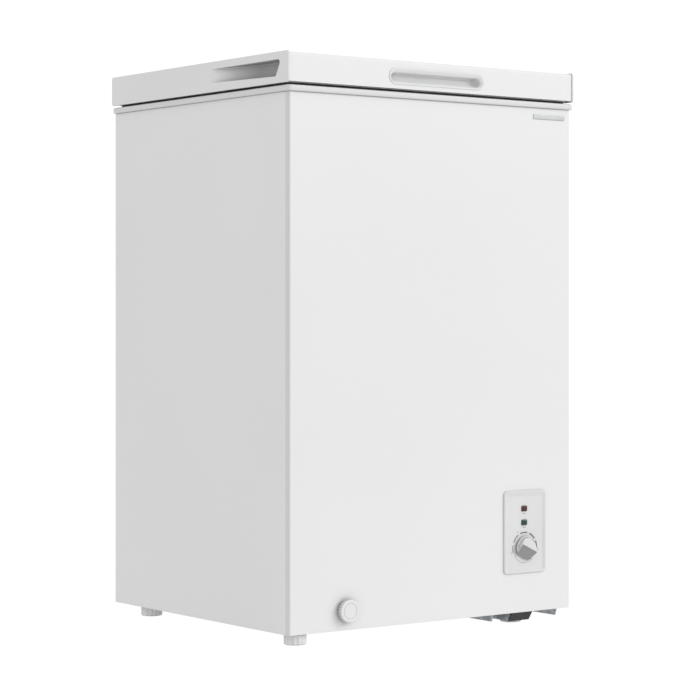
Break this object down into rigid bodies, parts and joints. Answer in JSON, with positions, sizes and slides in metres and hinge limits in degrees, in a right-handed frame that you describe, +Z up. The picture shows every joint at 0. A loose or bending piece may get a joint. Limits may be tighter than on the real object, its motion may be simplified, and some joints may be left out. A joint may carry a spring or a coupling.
{
  "type": "chest freezer",
  "caption": "Compact white chest freezer with a rear-hinged insulated lid, recessed grips, thermostat panel, drain, levelling feet and wire basket.",
  "frame": {"origin": "middle of the footprint of the whole object, on the floor under the feet", "axes": "+X to the right seen from the front, +Y towards the back with the front facing -Y, +Z up"},
  "size_m": [0.545, 0.5034, 0.85],
  "materials": {
    "white_paint": "satin powder coat with faint orange peel",
    "white_plastic": "semi-gloss moulded plastic",
    "panel_plastic": "satin moulded plastic",
    "liner_aluminium": "embossed white-coated sheet",
    "insulation_foam": "rigid closed-cell foam",
    "copper": "drawn copper tube",
    "galvanised_steel": "zinc spangle",
    "black_paint": "semi-gloss black enamel",
    "black_rubber": "matt rubber",
    "black_plastic": "matt moulded plastic",
    "red_lens": "clear tinted lens",
    "green_lens": "clear tinted lens",
    "badge_metal": "satin anodised strip",
    "foot_plastic": "semi-translucent nylon",
    "zinc_steel": "bright zinc plate",
    "coated_wire": "white plastic-coated wire"
  },
  "bodies": {
    "cabinet": {"outer_wrap": "white_paint", "back_panel": "white_paint", "bottom_panel": "galvanised_steel", "top_collar": "white_plastic", "inner_liner": "liner_aluminium", "cabinet_foam": "insulation_foam", "evaporator_coil": "copper", "condenser_coil": "copper", "base_plate": "galvanised_steel", "foot_bracket_front": "black_paint", "compressor": "black_paint", "grommet_front_left": "black_rubber", "grommet_rear_left": "black_rubber", "grommet_front_right": "black_rubber", "grommet_rear_right": "black_rubber", "start_relay_box": "black_plastic", "filter_drier": "copper", "suction_tube": "copper", "discharge_tube": "copper", "panel_bezel": "panel_plastic", "red_lens": "red_lens", "green_lens": "green_lens", "thermostat_body": "black_plastic", "badge_strip": "badge_metal", "drain_tube": "white_plastic", "rear_grille": "galvanised_steel", "cord_gland": "black_rubber", "hinge_leaf_cabinet_left": "zinc_steel", "hinge_leaf_cabinet_right": "zinc_steel", "hinge_pin_left": "zinc_steel", "hinge_pin_right": "zinc_steel", "hinge_screw_cabinet_left_a": "zinc_steel", "hinge_screw_cabinet_left_b": "zinc_steel", "hinge_screw_cabinet_right_a": "zinc_steel", "hinge_screw_cabinet_right_b": "zinc_steel"},
    "lid": {"lid_sheet": "white_paint", "lid_end_cap_left": "white_plastic", "lid_end_cap_right": "white_plastic", "handle_insert": "white_plastic", "lid_foam": "insulation_foam", "lid_liner": "white_plastic", "lid_gasket": "black_rubber", "hinge_leaf_lid_left": "zinc_steel", "hinge_leaf_lid_right": "zinc_steel", "hinge_screw_lid_left_a": "zinc_steel", "hinge_screw_lid_left_b": "zinc_steel", "hinge_screw_lid_right_a": "zinc_steel", "hinge_screw_lid_right_b": "zinc_steel"},
    "knob": {"thermostat_knob": "white_plastic"},
    "drain_cap": {"drain_cap": "white_plastic"},
    "drain_plug": {"drain_plug": "white_plastic"},
    "basket": {"wire_basket": "coated_wire"},
    "foot_stud_front_left": {"foot_stud_front_left": "zinc_steel"},
    "foot_pad_front_left": {"foot_pad_front_left": "foot_plastic"},
    "foot_stud_rear_left": {"foot_stud_rear_left": "zinc_steel"},
    "foot_pad_rear_left": {"foot_pad_rear_left": "foot_plastic"},
    "foot_stud_front_right": {"foot_stud_front_right": "zinc_steel"},
    "foot_pad_front_right": {"foot_pad_front_right": "foot_plastic"},
    "foot_stud_rear_right": {"foot_stud_rear_right": "zinc_steel"},
    "foot_pad_rear_right": {"foot_pad_rear_right": "foot_plastic"}
  },
  "joints": [
    {"name": "lid_hinge", "type": "hinge", "parent": "cabinet", "child": "lid", "pos_m": [0, 0.24775, 0.8], "axis": [-1, 0, 0], "range_deg": [0, 85]},
    {"name": "knob_turn", "type": "hinge", "parent": "cabinet", "child": "knob", "pos_m": [0.1741, -0.24125, 0.1145], "axis": [0, 1, 0], "range_deg": [-110, 170]},
    {"name": "drain_cap_pull", "type": "slide", "parent": "cabinet", "child": "drain_cap", "axis": [0, -1, 0], "range_m": [0, 0.03]},
    {"name": "drain_plug_lift", "type": "slide", "parent": "cabinet", "child": "drain_plug", "axis": [0, 0, 1], "range_m": [0, 0.03]},
    {"name": "basket_slide", "type": "slide", "parent": "cabinet", "child": "basket", "axis": [-1, 0, 0], "range_m": [0, 0.222]},
    {"name": "foot_travel_front_left", "type": "slide", "parent": "cabinet", "child": "foot_stud_front_left", "axis": [0, 0, -1], "range_m": [0, 0.008]},
    {"name": "foot_turn_front_left", "type": "hinge", "parent": "foot_stud_front_left", "child": "foot_pad_front_left", "pos_m": [-0.242, -0.21625, 0], "axis": [0, 0, 1], "range_deg": [0, 2300]},
    {"name": "foot_travel_rear_left", "type": "slide", "parent": "cabinet", "child": "foot_stud_rear_left", "axis": [0, 0, -1], "range_m": [0, 0.008]},
    {"name": "foot_turn_rear_left", "type": "hinge", "parent": "foot_stud_rear_left", "child": "foot_pad_rear_left", "pos_m": [-0.242, 0.17475, 0], "axis": [0, 0, 1], "range_deg": [0, 2300]},
    {"name": "foot_travel_front_right", "type": "slide", "parent": "cabinet", "child": "foot_stud_front_right", "axis": [0, 0, -1], "range_m": [0, 0.008]},
    {"name": "foot_turn_front_right", "type": "hinge", "parent": "foot_stud_front_right", "child": "foot_pad_front_right", "pos_m": [0.1665, -0.21375, 0], "axis": [0, 0, 1], "range_deg": [0, 2300]},
    {"name": "foot_travel_rear_right", "type": "slide", "parent": "cabinet", "child": "foot_stud_rear_right", "axis": [0, 0, -1], "range_m": [0, 0.008]},
    {"name": "foot_turn_rear_right", "type": "hinge", "parent": "foot_stud_rear_right", "child": "foot_pad_rear_right", "pos_m": [0.2, 0.17475, 0], "axis": [0, 0, 1], "range_deg": [0, 2300]}
  ],
  "couplings": [
    {"joint": "foot_travel_front_left", "follows": "foot_turn_front_left", "m_per_rad": 0.00019894},
    {"joint": "foot_travel_rear_left", "follows": "foot_turn_rear_left", "m_per_rad": 0.00019894},
    {"joint": "foot_travel_front_right", "follows": "foot_turn_front_right", "m_per_rad": 0.00019894},
    {"joint": "foot_travel_rear_right", "follows": "foot_turn_rear_right", "m_per_rad": 0.00019894}
  ]
}
